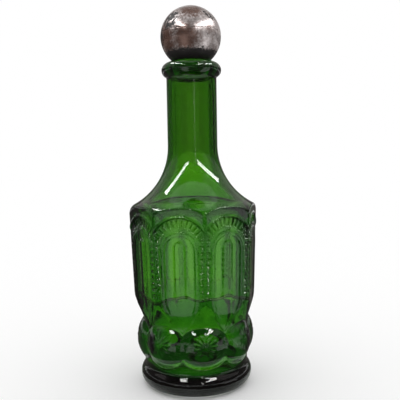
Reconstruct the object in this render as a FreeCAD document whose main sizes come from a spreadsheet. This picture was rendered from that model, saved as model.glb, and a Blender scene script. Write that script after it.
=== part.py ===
import FreeCAD, Part
import Sketcher
import math
import os

# Eight-sided pressed-glass decanter bottle with a silvered ball stopper.
# Frame: +Z up, origin at the centre of the foot's underside, one flat panel facing -Y.

V = FreeCAD.Vector

DIMS = [
    # foot and punt
    ("foot_tube", 8.0),
    ("foot_centre_r", 29.0),
    ("foot_flat_in", 26.0),
    ("punt_rise", 3.4),
    ("punt_flat", 6.0),
    # belt that carries the domed discs
    ("belt_radius", 34.2),
    ("belt_top_r", 34.9),
    ("belt_top", 45.5),
    # body
    ("knee_r", 40.5),
    ("knee_height", 60.0),
    ("shoulder_r", 42.9),
    ("shoulder_height", 118.3),
    ("neck_radius", 16.45),
    ("sweep_rise", 39.7),
    ("neck_foot", "=shoulder_height + sweep_rise"),
    # lip
    ("lip_tube", 5.0),
    ("lip_inset", 1.85),
    ("lip_centre_r", "=neck_radius - lip_inset"),
    ("mouth_height", 212.0),
    # level where the body's glass ends and the neck's begins, one solid each
    ("joint_rise", 5.7),
    ("neck_joint", "=shoulder_height + joint_rise"),
    # edge rounds
    ("foot_round", 5.0),
    ("belt_round", 6.0),
    ("knee_round", 14.0),
    ("shoulder_round", 6.5),
    # flat panels
    ("panels", 8),
    ("panel_inset", 4.5),
    ("panel_apothem", "=knee_r - panel_inset"),
    ("panel_tilt", 1.87),
    ("panel_foot", 2.0),
    ("panel_sketch_low", "=belt_top + panel_foot"),
    ("panel_over", 9.7),
    ("panel_sketch_high", "=shoulder_height + panel_over"),
    ("panel_half_wide", 19.0),
    # domed discs round the belt
    ("disc_drop", 13.5),
    ("disc_height", "=belt_top - disc_drop"),
    ("disc_stand", 5.15),
    ("disc_reach", "=belt_radius + disc_stand"),
    ("disc_sphere", 21.0),
    # pressed pattern: how high the beads stand, and how deep they root in the glass
    ("relief", 0.45),
    ("bead_root", 2.8),
    # pointed frame round the middle of each panel
    ("frame_half", 11.3),
    ("frame_bead", 1.3),
    ("frame_drop", 25.3),
    ("frame_top", "=shoulder_height - frame_drop"),
    ("frame_rise", 4.0),
    ("frame_low", "=knee_height + frame_rise"),
    ("tip_drop", 4.0),
    ("frame_tip", "=belt_top - tip_drop"),
    ("tip_out_drop", 6.1),
    ("frame_tip_out", "=belt_top - tip_out_drop"),
    ("recess_depth", 0.45),
    ("recess_rise", 4.5),
    ("recess_tip", "=belt_top + recess_rise"),
    # raised bar left standing in the recess
    ("bar_half", 4.0),
    ("bar_drop", 22.8),
    ("bar_top", "=shoulder_height - bar_drop"),
    ("bar_rise", 11.0),
    ("bar_low", "=knee_height + bar_rise"),
    # arch over the frame, and the fan of slots under it
    ("arch_drop", 23.3),
    ("arch_height", "=shoulder_height - arch_drop"),
    ("arch_radius", 18.9),
    ("arch_bead", 0.9),
    ("arch_end", 31.0),
    ("slots", 9),
    ("fan_spread", 88.0),
    ("fan_in", 14.9),
    ("fan_out", 16.9),
    ("slot_half", 0.8),
    ("slot_depth", 0.55),
    # ladder of short rungs up each corner
    ("ladder_in", 2.47),
    ("ladder_r", "=knee_r - ladder_in"),
    ("ladder_tilt", 2.36),
    ("rungs", 10),
    ("rung_rise", 5.0),
    ("rung_low", "=knee_height + rung_rise"),
    ("rung_gap", 3.85),
    ("rung_tall", 1.3),
    ("rung_in", 0.6),
    ("rung_out", 2.8),
    ("rung_depth", 0.5),
    # hollow: its walls, measured in from the outline
    ("neck_wall", 3.45),
    ("bore_radius", "=neck_radius - neck_wall"),
    ("floor_height", 9.5),
    ("floor_wall", 3.6),
    ("floor_radius", "=belt_radius - floor_wall"),
    ("waist_wall", 3.5),
    ("hollow_waist_r", "=belt_top_r - waist_wall"),
    ("waist_rise", 1.0),
    ("hollow_waist", "=belt_top + waist_rise"),
    ("knee_wall", 5.5),
    ("hollow_knee_r", "=knee_r - knee_wall"),
    ("hollow_knee_rise", 2.0),
    ("hollow_knee", "=knee_height + hollow_knee_rise"),
    ("corner_wall", 6.5),
    ("hollow_top_r", "=shoulder_r - corner_wall"),
    ("hollow_round", 7.0),
    ("disc_wall", 5.5),
    # ball stopper
    ("ball_radius", 19.8),
    ("ball_rise", 16.8),
    ("ball_centre", "=mouth_height + ball_rise"),
    ("ball_drop", 23.3),
    ("seam_rise", 2.2),
    ("ball_seam", "=ball_centre + seam_rise"),
    ("ball_wall", 1.4),
    ("ball_lap", 3.0),
    ("ball_lap_wall", 0.9),
    ("ball_fit", 0.1),
    ("ball_floor", 1.6),
    # plug under the ball
    ("plug_fit", 0.15),
    ("plug_wall", 1.5),
    ("plug_depth", 9.5),
    ("plug_foot", "=mouth_height - plug_depth"),
    ("plug_stem", 8.5),
    ("plug_head", 10.2),
    ("plug_head_thick", 1.2),
]

doc = FreeCAD.newDocument("decanter")
sheet = doc.addObject("Spreadsheet::Sheet", "dims")
for row, (name, value) in enumerate(DIMS, start=1):
    sheet.set("A%d" % row, name)
    sheet.set("B%d" % row, str(value))
    sheet.setAlias("B%d" % row, name)
doc.recompute()
size = {name: float(sheet.get(name)) for name, value in DIMS}


def origin_item(body, role):
    return [f for f in body.Origin.OriginFeatures if f.Role == role][0]


def new_body(label):
    body = doc.addObject("PartDesign::Body", label)
    body.Label = label
    return body


def new_sketch(body, name, role):
    sketch = body.newObject("Sketcher::SketchObject", name)
    sketch.AttachmentSupport = [(origin_item(body, role), "")]
    sketch.MapMode = "FlatFace"
    return sketch


def bind(sketch, index, expression):
    sketch.setExpression("Constraints[%d]" % index, expression)


def place(sketch, geo, end, corner):
    """Put one end of a curve at a corner, each coordinate bound to an expression of the sheet."""
    if corner["x_expr"] == "axis":
        sketch.addConstraint(Sketcher.Constraint("PointOnObject", geo, end, -2))
    elif corner["x_expr"]:
        bind(sketch, sketch.addConstraint(Sketcher.Constraint("DistanceX", -1, 1, geo, end, corner["x"])),
             corner["x_expr"])
    if corner["y_expr"] == "base":
        sketch.addConstraint(Sketcher.Constraint("PointOnObject", geo, end, -1))
    elif corner["y_expr"]:
        bind(sketch, sketch.addConstraint(Sketcher.Constraint("DistanceY", -1, 1, geo, end, corner["y"])),
             corner["y_expr"])


def corner(x, y, x_expr, y_expr, round_alias=None, smooth=False):
    return {"x": x, "y": y, "x_expr": x_expr, "y_expr": y_expr, "round": round_alias, "smooth": smooth}


def gap(a, b):
    return math.hypot(a[0] - b[0], a[1] - b[1])


def meets(shape_a, shape_b):
    """Points where two offset curves meet; a curve is (point, direction) or (centre, radius)."""
    if shape_a[0] == "ring" and shape_b[0] == "line":
        return meets(shape_b, shape_a)
    if shape_a[0] == "line":
        (px, py), (dx, dy) = shape_a[1:]
        if shape_b[0] == "line":
            (qx, qy), (ex, ey) = shape_b[1:]
            cross = dx * ey - dy * ex
            run = ((qx - px) * ey - (qy - py) * ex) / cross
            return [(px + run * dx, py + run * dy)]
        (cx, cy), radius = shape_b[1:]
        along = (cx - px) * dx + (cy - py) * dy
        foot = (px + along * dx, py + along * dy)
        reach = radius ** 2 - gap(foot, (cx, cy)) ** 2
        if reach < 0:
            return []
        step = math.sqrt(reach)
        return [(foot[0] + sign * step * dx, foot[1] + sign * step * dy) for sign in (-1, 1)]
    return []


def offsets(a, b, centre, distance):
    """Both offset copies of the line or arc from a to b."""
    if centre is None:
        length = gap(a, b)
        dx = (b[0] - a[0]) / length
        dy = (b[1] - a[1]) / length
        return [("line", (a[0] - sign * distance * dy, a[1] + sign * distance * dx), (dx, dy))
                for sign in (-1, 1)]
    return [("ring", centre, gap(a, centre) + sign * distance) for sign in (-1, 1)]


def nearest(a, b, centre, point):
    """The point of the full line or circle nearest to a point."""
    if centre is None:
        length = gap(a, b)
        along = ((point[0] - a[0]) * (b[0] - a[0]) + (point[1] - a[1]) * (b[1] - a[1])) / length ** 2
        return (a[0] + along * (b[0] - a[0]), a[1] + along * (b[1] - a[1]))
    scale = gap(a, centre) / gap(point, centre)
    return (centre[0] + scale * (point[0] - centre[0]), centre[1] + scale * (point[1] - centre[1]))


def within(a, b, point):
    return gap(a, point) < gap(a, b) and gap(b, point) < gap(a, b)


def blend(before, at, after, centre_in, centre_out, radius):
    """Tangent points and centre of a round of given radius in the corner between two curves."""
    best = None
    for first in offsets(before, at, centre_in, radius):
        for second in offsets(at, after, centre_out, radius):
            for middle in meets(first, second):
                start = nearest(before, at, centre_in, middle)
                end = nearest(at, after, centre_out, middle)
                if within(before, at, start) and within(at, after, end):
                    cost = gap(start, at) + gap(end, at)
                    if best is None or cost < best[0]:
                        best = (cost, start, end, middle)
    return best[1:]


def add_curve(sketch, a, b, centre):
    """A line, or the shorter arc about a centre; returns its index and which of its ends sits at a."""
    if centre is None:
        return sketch.addGeometry(Part.LineSegment(V(a[0], a[1], 0), V(b[0], b[1], 0)), False), 1
    angle_a = math.atan2(a[1] - centre[1], a[0] - centre[0])
    angle_b = math.atan2(b[1] - centre[1], b[0] - centre[0])
    sweep = (angle_b - angle_a) % (2 * math.pi)
    circle = Part.Circle(V(centre[0], centre[1], 0), V(0, 0, 1), gap(a, centre))
    if sweep < math.pi:
        return sketch.addGeometry(Part.ArcOfCircle(circle, angle_a, angle_a + sweep), False), 1
    sweep = 2 * math.pi - sweep
    return sketch.addGeometry(Part.ArcOfCircle(circle, angle_b, angle_b + sweep), False), 2


def draw_profile(sketch, corners, centres, radii):
    """A closed profile: centres[i] is None for a line from corner i, or the centre of its arc."""
    count = len(corners)
    points = [(item["x"], item["y"]) for item in corners]
    rounds = {}
    for i, item in enumerate(corners):
        if item["round"]:
            rounds[i] = blend(points[i - 1], points[i], points[(i + 1) % count],
                              centres[i - 1], centres[i], size[item["round"]])
    curves = []
    for i in range(count):
        start = rounds[i][1] if i in rounds else points[i]
        after = (i + 1) % count
        end = rounds[after][0] if after in rounds else points[after]
        curves.append(add_curve(sketch, start, end, centres[i]))
    for i, item in enumerate(corners):
        geo_in, end_in = curves[i - 1][0], 3 - curves[i - 1][1]
        geo_out, end_out = curves[i]
        if i in rounds:
            start, end, middle = rounds[i]
            arc, first = add_curve(sketch, start, end, middle)
            sketch.addConstraint(Sketcher.Constraint("Tangent", geo_in, end_in, arc, first))
            sketch.addConstraint(Sketcher.Constraint("Tangent", arc, 3 - first, geo_out, end_out))
            bind(sketch, sketch.addConstraint(Sketcher.Constraint("Radius", arc, size[item["round"]])),
                 "dims." + item["round"])
            mark = sketch.addGeometry(Part.Point(V(item["x"], item["y"], 0)), True)
            sketch.addConstraint(Sketcher.Constraint("PointOnObject", mark, 1, geo_in))
            sketch.addConstraint(Sketcher.Constraint("PointOnObject", mark, 1, geo_out))
            place(sketch, mark, 1, item)
        else:
            kind = "Tangent" if item["smooth"] else "Coincident"
            sketch.addConstraint(Sketcher.Constraint(kind, geo_in, end_in, geo_out, end_out))
            place(sketch, geo_out, end_out, item)
    for i, expression in radii.items():
        bind(sketch, sketch.addConstraint(Sketcher.Constraint("Radius", curves[i][0], gap(points[i], centres[i]))),
             expression)
    return [curve[0] for curve in curves]


def level(sketch, geo):
    sketch.addConstraint(Sketcher.Constraint("Horizontal", geo))


def upright(sketch, geo):
    sketch.addConstraint(Sketcher.Constraint("Vertical", geo))


def settle(sketch, name):
    doc.recompute()
    if sketch.solve() != 0 or not sketch.FullyConstrained:
        raise RuntimeError("sketch not fully constrained: " + name)


def revolve(body, sketch, name, kind="PartDesign::Revolution"):
    feature = body.newObject(kind, name)
    feature.Profile = sketch
    feature.ReferenceAxis = (sketch, ["V_Axis"])
    feature.Angle = 360.0
    sketch.Visibility = False
    return feature


def lean(sketch, out_expr, out, tilt_alias, base_y=None):
    """Set a sketch on a plane that leans out with height, a distance out from the axis at its foot."""
    tilt = size[tilt_alias]
    rise = 0.0 if base_y is None else size[base_y]
    sketch.AttachmentOffset = FreeCAD.Placement(V(0, rise, out + rise * math.tan(math.radians(tilt))),
                                                FreeCAD.Rotation(V(1, 0, 0), tilt))
    if base_y is None:
        sketch.setExpression("AttachmentOffset.Base.z", out_expr)
    else:
        sketch.setExpression("AttachmentOffset.Base.y", "dims." + base_y)
        sketch.setExpression("AttachmentOffset.Base.z",
                             "%s + dims.%s * tan(1deg * dims.%s)" % (out_expr, base_y, tilt_alias))
    sketch.setExpression("AttachmentOffset.Rotation.Angle", "dims." + tilt_alias)


def pointed_loop(sketch, half, half_expr, tip_alias):
    """Round-headed frame whose sides close to a point below, like an upturned lancet."""
    top = size["frame_top"]
    low = size["frame_low"]
    tip = size[tip_alias]
    reach = (half ** 2 + (low - tip) ** 2) / (2 * half)
    corners = [
        corner(half, top, half_expr, "dims.frame_top", smooth=True),
        corner(0.0, top + half, "axis", "", smooth=True),
        corner(-half, top, "-(%s)" % half_expr, "dims.frame_top", smooth=True),
        corner(-half, low, "-(%s)" % half_expr, "dims.frame_low", smooth=True),
        corner(0.0, tip, "axis", "dims." + tip_alias),
        corner(half, low, half_expr, "dims.frame_low", smooth=True),
    ]
    draw_profile(sketch, corners, [(0.0, top), (0.0, top), None, (reach - half, low), (half - reach, low), None], {})


def stadium(sketch, low, high, half, low_expr, high_expr, half_expr):
    """Upright slot with round ends, on the sketch's own axis."""
    corners = [
        corner(half, high, half_expr, high_expr, smooth=True),
        corner(0.0, high + half, "axis", "", smooth=True),
        corner(-half, high, "-(%s)" % half_expr, high_expr, smooth=True),
        corner(-half, low, "-(%s)" % half_expr, low_expr, smooth=True),
        corner(0.0, low - half, "axis", "", smooth=True),
        corner(half, low, half_expr, low_expr, smooth=True),
    ]
    draw_profile(sketch, corners, [(0.0, high), (0.0, high), None, (0.0, low), (0.0, low), None], {})


def sink(body, sketch, name, depth_alias):
    feature = body.newObject("PartDesign::Pocket", name)
    feature.Profile = sketch
    feature.Length = size[depth_alias]
    feature.setExpression("Length", "dims." + depth_alias)
    sketch.Visibility = False
    return feature


def all_round(body, feature, name, first=None):
    """Repeat a feature for every panel; first is a pattern that is repeated as a whole."""
    if first is None:
        ring = body.newObject("PartDesign::PolarPattern", name)
        ring.Originals = [feature]
        result = ring
    else:
        result = body.newObject("PartDesign::MultiTransform", name)
        result.Originals = [feature]
        ring = doc.addObject("PartDesign::PolarPattern", name + "_turns")
        result.Transformations = [first, ring]
    ring.Axis = (origin_item(body, "Z_Axis"), [""])
    ring.Angle = 360.0
    ring.setExpression("Occurrences", "dims.panels")
    body.Tip = result
    doc.recompute()
    return result


def slab(name, low_expr, high_expr, radius_expr="2 * dims.ball_radius"):
    block = doc.addObject("Part::Cylinder", name)
    block.setExpression("Radius", radius_expr)
    block.setExpression("Height", "(%s) - (%s)" % (high_expr, low_expr))
    block.setExpression("Placement.Base.z", low_expr)
    return block


def boolean(kind, name, base, tool):
    result = doc.addObject(kind, name)
    result.Base = base
    result.Tool = tool
    return result


# ---------------------------------------------------------------- glass bottle
form = new_body("pressed_form")
outline = new_sketch(form, "bottle_outline", "XZ_Plane")

foot_r = size["foot_centre_r"]
foot_t = size["foot_tube"]
belt_r = size["belt_radius"]
foot_rise = foot_t + math.sqrt(foot_t ** 2 - (belt_r - foot_r) ** 2)
neck_r = size["neck_radius"]
drop = size["neck_foot"] - size["shoulder_height"]
spread = size["shoulder_r"] - neck_r
sweep_r = (drop ** 2 + spread ** 2) / (2 * spread)
lip_r = size["lip_centre_r"]
lip_t = size["lip_tube"]
top_z = size["mouth_height"]
lip_z = top_z - lip_t
lip_foot = lip_z - math.sqrt(lip_t ** 2 - (neck_r - lip_r) ** 2)
punt_run = size["foot_flat_in"] - size["punt_flat"]
punt_arc_r = (punt_run ** 2 + size["punt_rise"] ** 2) / (2 * size["punt_rise"])

punt_centre = (size["punt_flat"], size["punt_rise"] - punt_arc_r)
outline_corners = [
    corner(0.0, size["punt_rise"], "axis", "dims.punt_rise"),
    corner(size["punt_flat"], size["punt_rise"], "dims.punt_flat", "", smooth=True),
    corner(size["foot_flat_in"], 0.0, "dims.foot_flat_in", "base"),
    corner(foot_r, 0.0, "dims.foot_centre_r", "", smooth=True),
    corner(belt_r, foot_rise, "dims.belt_radius", "", "foot_round"),
    corner(size["belt_top_r"], size["belt_top"], "dims.belt_top_r", "dims.belt_top", "belt_round"),
    corner(size["knee_r"], size["knee_height"], "dims.knee_r", "dims.knee_height", "knee_round"),
    corner(size["shoulder_r"], size["shoulder_height"], "dims.shoulder_r", "dims.shoulder_height",
           "shoulder_round"),
    corner(neck_r, size["neck_foot"], "dims.neck_radius", "dims.neck_foot", smooth=True),
    corner(neck_r, lip_foot, "", ""),
    corner(lip_r, top_z, "dims.lip_centre_r", "dims.mouth_height", smooth=True),
    corner(0.0, top_z, "axis", ""),
]
outline_centres = [None, punt_centre, None, (foot_r, foot_t), None, None, None,
                   (neck_r + sweep_r, size["neck_foot"]), None, (lip_r, lip_z), None, None]
curves = draw_profile(outline, outline_corners, outline_centres, {3: "dims.foot_tube", 9: "dims.lip_tube"})
level(outline, curves[0])
level(outline, curves[2])
upright(outline, curves[8])
level(outline, curves[10])
settle(outline, "bottle outline")

blank = revolve(form, outline, "bottle_blank")
doc.recompute()

# eight flat panels, each leaning out a little towards the shoulder
panel = new_sketch(form, "panel_outline", "XZ_Plane")
lean(panel, "dims.panel_apothem", size["panel_apothem"], "panel_tilt")
half = size["panel_half_wide"]
low = size["panel_sketch_low"]
high = size["panel_sketch_high"]
panel_corners = [
    corner(-half, low, "-dims.panel_half_wide", "dims.panel_sketch_low"),
    corner(half, low, "dims.panel_half_wide", "dims.panel_sketch_low"),
    corner(half, high, "dims.panel_half_wide", "dims.panel_sketch_high"),
    corner(-half, high, "-dims.panel_half_wide", "dims.panel_sketch_high"),
]
draw_profile(panel, panel_corners, [None] * 4, {})
settle(panel, "panel outline")
facet = form.newObject("PartDesign::Pocket", "panel_cut")
facet.Profile = panel
facet.Reversed = True
facet.Length = 12.0
panel.Visibility = False
doc.recompute()
print("panel cut removes", round(blank.Shape.Volume - facet.Shape.Volume, 1), "mm3")
facets = all_round(form, facet, "panel_ring")

# sunk middle of each panel, with a round-ended bar left standing in it
recess = new_sketch(form, "recess_outline", "XZ_Plane")
lean(recess, "dims.panel_apothem", size["panel_apothem"], "panel_tilt")
pointed_loop(recess, size["frame_half"] + size["frame_bead"] / 2, "dims.frame_half + dims.frame_bead / 2",
             "recess_tip")
stadium(recess, size["bar_low"], size["bar_top"], size["bar_half"], "dims.bar_low", "dims.bar_top", "dims.bar_half")
settle(recess, "recess outline")
recesses = all_round(form, sink(form, recess, "recess_cut", "recess_depth"), "recess_ring")

# beads of the pressed pattern: outlines pressed outwards, trimmed to a skin just over the glass
skin = new_body("relief_skin")
skin_outline = new_sketch(skin, "skin_outline", "XZ_Plane")
over = size["relief"]
skin_low = size["disc_height"]
skin_corners = [
    corner(0.0, skin_low, "axis", "dims.disc_height"),
    corner(belt_r + over, skin_low, "dims.belt_radius + dims.relief", ""),
    corner(size["belt_top_r"] + over, size["belt_top"], "dims.belt_top_r + dims.relief", "dims.belt_top",
           "belt_round"),
    corner(size["knee_r"] + over, size["knee_height"], "dims.knee_r + dims.relief", "dims.knee_height",
           "knee_round"),
    corner(size["shoulder_r"] + over, size["shoulder_height"], "dims.shoulder_r + dims.relief",
           "dims.shoulder_height"),
    corner(0.0, size["shoulder_height"], "axis", ""),
]
skin_curves = draw_profile(skin_outline, skin_corners, [None] * 6, {})
level(skin_outline, skin_curves[0])
level(skin_outline, skin_curves[4])
settle(skin_outline, "skin outline")
skin_blank = revolve(skin, skin_outline, "skin_blank")
doc.recompute()
skin_panel = new_sketch(skin, "skin_panel", "XZ_Plane")
lean(skin_panel, "dims.panel_apothem + dims.relief", size["panel_apothem"] + over, "panel_tilt")
draw_profile(skin_panel, panel_corners, [None] * 4, {})
settle(skin_panel, "skin panel")
skin_cut = skin.newObject("PartDesign::Pocket", "skin_cut")
skin_cut.Profile = skin_panel
skin_cut.Reversed = True
skin_cut.Length = 12.0
doc.recompute()
skin_ring = all_round(skin, skin_cut, "skin_ring")

beads = new_body("pattern_beads")
beads.AllowCompound = True
bead_outline = new_sketch(beads, "bead_outline", "XZ_Plane")
lean(bead_outline, "dims.panel_apothem - dims.bead_root", size["panel_apothem"] - size["bead_root"], "panel_tilt")
pointed_loop(bead_outline, size["frame_half"] + size["frame_bead"], "dims.frame_half + dims.frame_bead",
             "frame_tip_out")
pointed_loop(bead_outline, size["frame_half"], "dims.frame_half", "frame_tip")
arch_out = size["arch_radius"] + size["arch_bead"] / 2
arch_in = size["arch_radius"] - size["arch_bead"] / 2
arch_y = size["arch_height"]
arch_turn = math.radians(size["arch_end"])


def arch_corner(radius, sign, side):
    """End of the arch's bead, on its inner or outer edge."""
    radius_expr = "(dims.arch_radius %s dims.arch_bead / 2)" % ("+" if side > 0 else "-")
    return corner(sign * radius * math.cos(arch_turn), arch_y + radius * math.sin(arch_turn),
                  "%d * %s * cos(1deg * dims.arch_end)" % (sign, radius_expr),
                  "dims.arch_height + %s * sin(1deg * dims.arch_end)" % radius_expr)


arch_corners = [
    arch_corner(arch_out, 1, 1),
    corner(0.0, arch_y + arch_out, "axis", "dims.arch_height + dims.arch_radius + dims.arch_bead / 2", smooth=True),
    arch_corner(arch_out, -1, 1),
    arch_corner(arch_in, -1, -1),
    corner(0.0, arch_y + arch_in, "axis", "dims.arch_height + dims.arch_radius - dims.arch_bead / 2", smooth=True),
    arch_corner(arch_in, 1, -1),
]
arch_mid = (0.0, arch_y)
draw_profile(bead_outline, arch_corners, [arch_mid, arch_mid, None, arch_mid, arch_mid, None],
             {0: "dims.arch_radius + dims.arch_bead / 2", 3: "dims.arch_radius - dims.arch_bead / 2"})
settle(bead_outline, "bead outline")
bead_pad = beads.newObject("PartDesign::Pad", "bead_pad")
bead_pad.Profile = bead_outline
bead_pad.Length = 8.0
doc.recompute()
bead_ring = all_round(beads, bead_pad, "bead_ring")
trimmed_beads = boolean("Part::Common", "trimmed_beads", beads, skin)
doc.recompute()
beaded_form = boolean("Part::Fuse", "beaded_form", form, trimmed_beads)
doc.recompute()

# discs, hollow and the finest cuts follow on the beaded form
bottle = new_body("whole_bottle")
bottle.BaseFeature = beaded_form
doc.recompute()

# domed discs, one under each corner of the body
dome = bottle.newObject("PartDesign::AdditiveSphere", "disc_dome")
dome.AttachmentSupport = [(origin_item(bottle, "XZ_Plane"), "")]
dome.MapMode = "FlatFace"
dome.setExpression("Radius", "dims.disc_sphere")
disc_middle = {
    "x": "(dims.disc_reach - dims.disc_sphere) * sin(180deg / dims.panels)",
    "y": "dims.disc_height",
    "z": "(dims.disc_reach - dims.disc_sphere) * cos(180deg / dims.panels)",
}
for axis, expression in disc_middle.items():
    dome.setExpression("AttachmentOffset.Base." + axis, expression)
doc.recompute()
domes = all_round(bottle, dome, "disc_ring")
solid_volume = domes.Shape.Volume

# hollow: floor, widening wall, shoulder sweep and straight bore
hollow = new_sketch(bottle, "hollow_outline", "XZ_Plane")
bore_r = size["bore_radius"]
h_spread = size["hollow_top_r"] - bore_r
h_sweep = sweep_r + neck_r - bore_r
h_drop = math.sqrt(h_sweep ** 2 - (h_sweep - h_spread) ** 2)
hollow_corners = [
    corner(0.0, size["floor_height"], "axis", "dims.floor_height"),
    corner(size["floor_radius"], size["floor_height"], "dims.floor_radius", "", "hollow_round"),
    corner(size["hollow_waist_r"], size["hollow_waist"], "dims.hollow_waist_r", "dims.hollow_waist",
           "hollow_round"),
    corner(size["hollow_knee_r"], size["hollow_knee"], "dims.hollow_knee_r", "dims.hollow_knee",
           "hollow_round"),
    corner(size["hollow_top_r"], size["neck_foot"] - h_drop, "dims.hollow_top_r", "", "hollow_round"),
    corner(bore_r, size["neck_foot"], "dims.bore_radius", "dims.neck_foot", smooth=True),
    corner(bore_r, top_z, "", "dims.mouth_height"),
    corner(0.0, top_z, "axis", ""),
]
hollow_centres = [None, None, None, None, (bore_r + h_sweep, size["neck_foot"]), None, None, None]
sweep_expr = ("((dims.neck_foot - dims.shoulder_height)^2 + (dims.shoulder_r - dims.neck_radius)^2)"
              " / (2 * (dims.shoulder_r - dims.neck_radius)) + dims.neck_radius - dims.bore_radius")
hollow_curves = draw_profile(hollow, hollow_corners, hollow_centres, {4: sweep_expr})
level(hollow, hollow_curves[0])
upright(hollow, hollow_curves[5])
level(hollow, hollow_curves[6])
settle(hollow, "hollow outline")
groove = revolve(bottle, hollow, "hollow_cut", "PartDesign::Groove")
bottle.Tip = groove
doc.recompute()

# the hollow swells a little behind each disc
dish = bottle.newObject("PartDesign::SubtractiveSphere", "disc_dish")
dish.AttachmentSupport = [(origin_item(bottle, "XZ_Plane"), "")]
dish.MapMode = "FlatFace"
dish.setExpression("Radius", "dims.disc_sphere - dims.disc_wall")
for axis, expression in disc_middle.items():
    dish.setExpression("AttachmentOffset.Base." + axis, expression)
doc.recompute()
dishes = all_round(bottle, dish, "dish_ring")
print("hollow holds", round((solid_volume - dishes.Shape.Volume) / 1000.0, 1), "ml")

# fan of slots over each frame; the first slot is the one farthest to the side
fan = new_sketch(bottle, "slot_outline", "XZ_Plane")
lean(fan, "dims.panel_apothem", size["panel_apothem"], "panel_tilt", "arch_height")
slant = math.radians(size["fan_spread"] / 2)
slant_expr = "(0.5deg * dims.fan_spread)"


def slot_corner(along, along_expr, across, smooth):
    """Corner of the first slot, by distances along and across its slanted middle line."""
    width = across * size["slot_half"]
    width_expr = "%d * dims.slot_half" % across
    return corner(along * math.sin(slant) + width * math.cos(slant), along * math.cos(slant) - width * math.sin(slant),
                  "(%s) * sin%s + %s * cos%s" % (along_expr, slant_expr, width_expr, slant_expr),
                  "(%s) * cos%s - %s * sin%s" % (along_expr, slant_expr, width_expr, slant_expr), smooth=smooth)


fan_in = size["fan_in"]
fan_out = size["fan_out"]
slot_half = size["slot_half"]
slot_corners = [
    slot_corner(fan_out, "dims.fan_out", 1, True),
    slot_corner(fan_out + slot_half, "dims.fan_out + dims.slot_half", 0, False),
    slot_corner(fan_out, "dims.fan_out", -1, True),
    slot_corner(fan_in, "dims.fan_in", -1, True),
    slot_corner(fan_in - slot_half, "dims.fan_in - dims.slot_half", 0, False),
    slot_corner(fan_in, "dims.fan_in", 1, True),
]
end_out = (fan_out * math.sin(slant), fan_out * math.cos(slant))
end_in = (fan_in * math.sin(slant), fan_in * math.cos(slant))
draw_profile(fan, slot_corners, [end_out, end_out, None, end_in, end_in, None], {})
settle(fan, "slot outline")
slot_cut = sink(bottle, fan, "slot_cut", "slot_depth")
fan_turns = doc.addObject("PartDesign::PolarPattern", "fan_turns")
fan_turns.Axis = (fan, ["N_Axis"])
fan_turns.Angle = size["fan_spread"]
fan_turns.setExpression("Angle", "1deg * dims.fan_spread")
fan_turns.setExpression("Occurrences", "dims.slots")
fans = all_round(bottle, slot_cut, "fan_ring", fan_turns)
print("fan slots remove", round(dishes.Shape.Volume - fans.Shape.Volume, 1), "mm3")

# ladder of rungs up each corner, two to a step
corner_plane = bottle.newObject("PartDesign::Plane", "corner_plane")
corner_plane.AttachmentSupport = [(origin_item(bottle, "XZ_Plane"), "")]
corner_plane.MapMode = "FlatFace"
corner_plane.AttachmentOffset = FreeCAD.Placement(V(0, 0, 0), FreeCAD.Rotation(V(0, 1, 0), 180.0 / size["panels"]))
corner_plane.setExpression("AttachmentOffset.Rotation.Angle", "180deg / dims.panels")
ladder = bottle.newObject("Sketcher::SketchObject", "rung_outline")
ladder.AttachmentSupport = [(corner_plane, "")]
ladder.MapMode = "FlatFace"
lean(ladder, "dims.ladder_r", size["ladder_r"], "ladder_tilt", "rung_low")
rung_up = size["rung_tall"] / 2
for sign in (1, -1):
    left, right = (("rung_in", "rung_out") if sign > 0 else ("rung_out", "rung_in"))
    rung_corners = [
        corner(sign * size[left], -rung_up, "%d * dims.%s" % (sign, left), "-dims.rung_tall / 2"),
        corner(sign * size[right], -rung_up, "%d * dims.%s" % (sign, right), "-dims.rung_tall / 2"),
        corner(sign * size[right], rung_up, "%d * dims.%s" % (sign, right), "dims.rung_tall / 2"),
        corner(sign * size[left], rung_up, "%d * dims.%s" % (sign, left), "dims.rung_tall / 2"),
    ]
    draw_profile(ladder, rung_corners, [None] * 4, {})
settle(ladder, "rung outline")
rung_cut = sink(bottle, ladder, "rung_cut", "rung_depth")
steps = doc.addObject("PartDesign::LinearPattern", "rung_steps")
steps.Direction = (ladder, ["V_Axis"])
steps.Length = size["rung_gap"] * (size["rungs"] - 1)
steps.setExpression("Length", "dims.rung_gap * (dims.rungs - 1)")
steps.setExpression("Occurrences", "dims.rungs")
ladders = all_round(bottle, rung_cut, "ladder_ring", steps)
print("rungs remove", round(fans.Shape.Volume - ladders.Shape.Volume, 1), "mm3")

# the glass as a panelled body and a neck, face to face just above the panels
neck_zone = slab("neck_zone", "dims.neck_joint", "dims.mouth_height + 1", "2 * dims.shoulder_r")
glass_neck = boolean("Part::Common", "glass_neck", bottle, neck_zone)
glass_neck.Label = "bottle_neck"
glass_body = boolean("Part::Cut", "glass_body", bottle, neck_zone)
glass_body.Label = "bottle"
doc.recompute()


# ---------------------------------------------------------------- ball stopper
def ball_solid(name, inset):
    """A closed solid of the ball's form: a half sphere over a half ellipsoid."""
    up = doc.addObject("Part::Sphere", name + "_up")
    up.setExpression("Radius", "dims.ball_radius - %s" % inset)
    up.setExpression("Placement.Base.z", "dims.ball_centre")
    up.Angle1 = 0
    down = doc.addObject("Part::Ellipsoid", name + "_down")
    down.setExpression("Radius1", "dims.ball_drop - %s" % inset)
    down.setExpression("Radius2", "dims.ball_radius - %s" % inset)
    down.setExpression("Radius3", "dims.ball_radius - %s" % inset)
    down.setExpression("Placement.Base.z", "dims.ball_centre")
    down.Angle2 = 0
    whole = doc.addObject("Part::Fuse", name)
    whole.Base = up
    whole.Tool = down
    doc.recompute()
    return whole


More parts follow.
